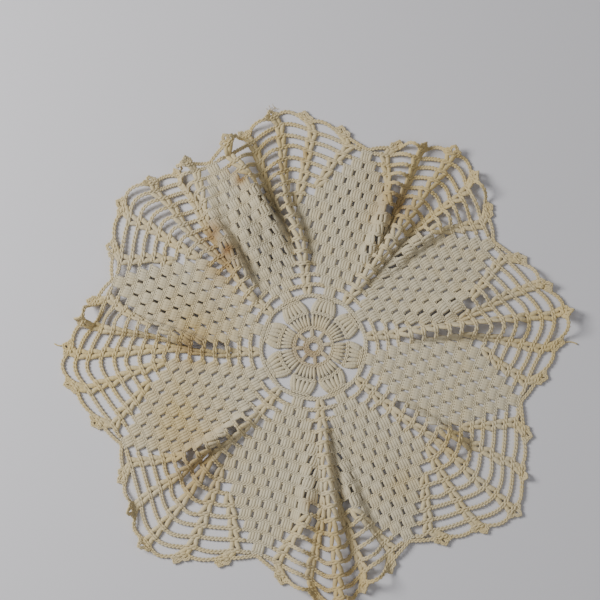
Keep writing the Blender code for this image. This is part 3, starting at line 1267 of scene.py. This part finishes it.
@dataclass
class Tails(Part):
    """Loose ends: thread tails at the left and right tips, and the frayed tuft at the top."""

    name: str = "thread_tails"
    thread: float = 0.0009
    fibre: float = 0.00022

    def build(self) -> bpy.types.Object:
        """Lay the loose ends.

        Returns:
            Their finished piece.
        """
        thread = Thread(self.name)
        rng = np.random.default_rng(SEED + 120)
        tips = ((4, 0.0, (-0.0060, 0.0016)), (0, -0.36, (0.0085, -0.0020)))
        for wedge, place, way in tips:
            self._tail(thread, (wedge, place), way, self.thread)
        for _hair in range(9):
            way = (float(rng.normal(0.001, 0.0030)), float(rng.uniform(0.0015, 0.0060)))
            self._tail(thread, (2, -0.03 + float(rng.normal(0.0, 0.03))), way, self.fibre)
        return self.dress(thread)

    def _tail(self, thread: Thread, spot: tuple[int, float], way: Pair, width: float) -> None:
        """Lay one loose end.

        Args:
            thread: What it is added to.
            spot: Wedge and place that it leaves.
            way: How far it reaches in plan.
            width: How thick it is.
        """
        start, _ups = self.lay.at(spot[0], np.array([spot[1]]), 16.6, 0.0008)
        along = np.linspace(0.0, 1.0, 9)[:, None]
        bend = 0.18 * np.sin(2.6 * along) * np.array((-way[1], way[0], 0.0))
        points = start + along * np.array((*way, 0.0)) + bend
        points[:, 2] = np.maximum(points[:, 2] * (1.0 - along[:, 0]), 0.5 * width + 0.0001)
        thread.strand(points, np.tile((0.0, 0.0, 1.0), (9, 1)), width, width, 6, 0.7)


@dataclass
class Studio:
    """Pale table, soft light from the upper left, and the camera over the doily."""

    elevation: float = 78.0
    distance: float = 0.90
    view_width: float = 0.384     # width that the view covers at the doily
    target: tuple[float, float, float] = (-0.0086, 0.0298, 0.004)
    sensor: float = 36.0
    sky: str = "E4E6EC"
    sky_strength: float = 0.28

    def build(self) -> None:
        """Place the floor, the lights and the camera."""
        bpy.ops.mesh.primitive_plane_add(size=6.0, location=(0.0, 0.0, 0.0))
        floor = bpy.context.active_object
        floor.name = "table_top"
        floor.data.materials.append(TableTop().make())
        self._camera()
        self._light("key", (-0.98, 0.28, 0.80), 0.50, 19.2)
        self._light("fill", (0.9, -0.6, 1.1), 1.1, 3.0)
        world = bpy.data.worlds.new("studio")
        world.use_nodes = True
        sky = world.node_tree.nodes["Background"].inputs
        sky["Color"].default_value = linear(self.sky)
        sky["Strength"].default_value = self.sky_strength
        bpy.context.scene.world = world

    def _camera(self) -> None:
        """The camera, nearly straight over the doily."""
        data = bpy.data.cameras.new("camera")
        data.sensor_width = self.sensor
        data.lens = self.sensor * self.distance / self.view_width
        data.clip_start = 0.01
        camera = bpy.data.objects.new("camera", data)
        bpy.context.scene.collection.objects.link(camera)
        tilt = math.radians(self.elevation)
        back = Vector((0.0, -math.cos(tilt), math.sin(tilt)))
        camera.location = Vector(self.target) + self.distance * back
        camera.rotation_euler = back.to_track_quat("Z", "Y").to_euler()
        bpy.context.scene.camera = camera

    def _light(self, name: str, place: tuple[float, float, float], size: float,
               power: float) -> None:
        """One soft square light that faces the doily.

        Args:
            name: Its name.
            place: Where it stands.
            size: Its side in metres.
            power: Its power in watts.
        """
        data = bpy.data.lights.new(name, "AREA")
        data.size = size
        data.energy = power
        light = bpy.data.objects.new(name, data)
        light.location = place
        light.rotation_euler = Vector(place).to_track_quat("Z", "Y").to_euler()
        bpy.context.scene.collection.objects.link(light)


@dataclass
class Doily:
    """The whole doily, its pieces in the order in which they are worked."""

    gauge: Gauge = field(default_factory=Gauge)
    repeat_flat: Pair = (0.1336, 0.113)   # longest round, and sixteen rounds
    repeat_area: float = 0.0089   # sum of its rounds' lengths by their height

    def build(self) -> None:
        """Work every piece and tell the frame what it is."""
        lay = Lay(self.gauge)
        LOG.info("lay ready: %d rounds", len(lay.rows))
        finish = Cotton().make()
        flower, petals = (self._ready(piece) for piece in Flower(lay, finish).build())
        tails = self._ready(Tails(lay, finish).build())
        repeats = [Repeat(lay, finish, index).build() for index in range(len(PANELS))]
        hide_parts("doily")
        for ground, posts in repeats:
            self._ready(ground)
            self._ready(posts)

    def _ready(self, piece: bpy.types.Object) -> bpy.types.Object:
        """Put a piece on the doily's body and report it.

        Args:
            piece: The piece.

        Returns:
            The same piece.
        """
        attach(piece, "root")
        LOG.info("%s: %d faces", piece.name, len(piece.data.polygons))
        return piece


def main() -> None:
    """Build the doily, then its studio."""
    logging.basicConfig(level=logging.INFO, format="%(message)s")
    bpy.ops.object.select_all(action="DESELECT")
    Doily().build()
    Studio().build()


if __name__ == "__main__":
    main()
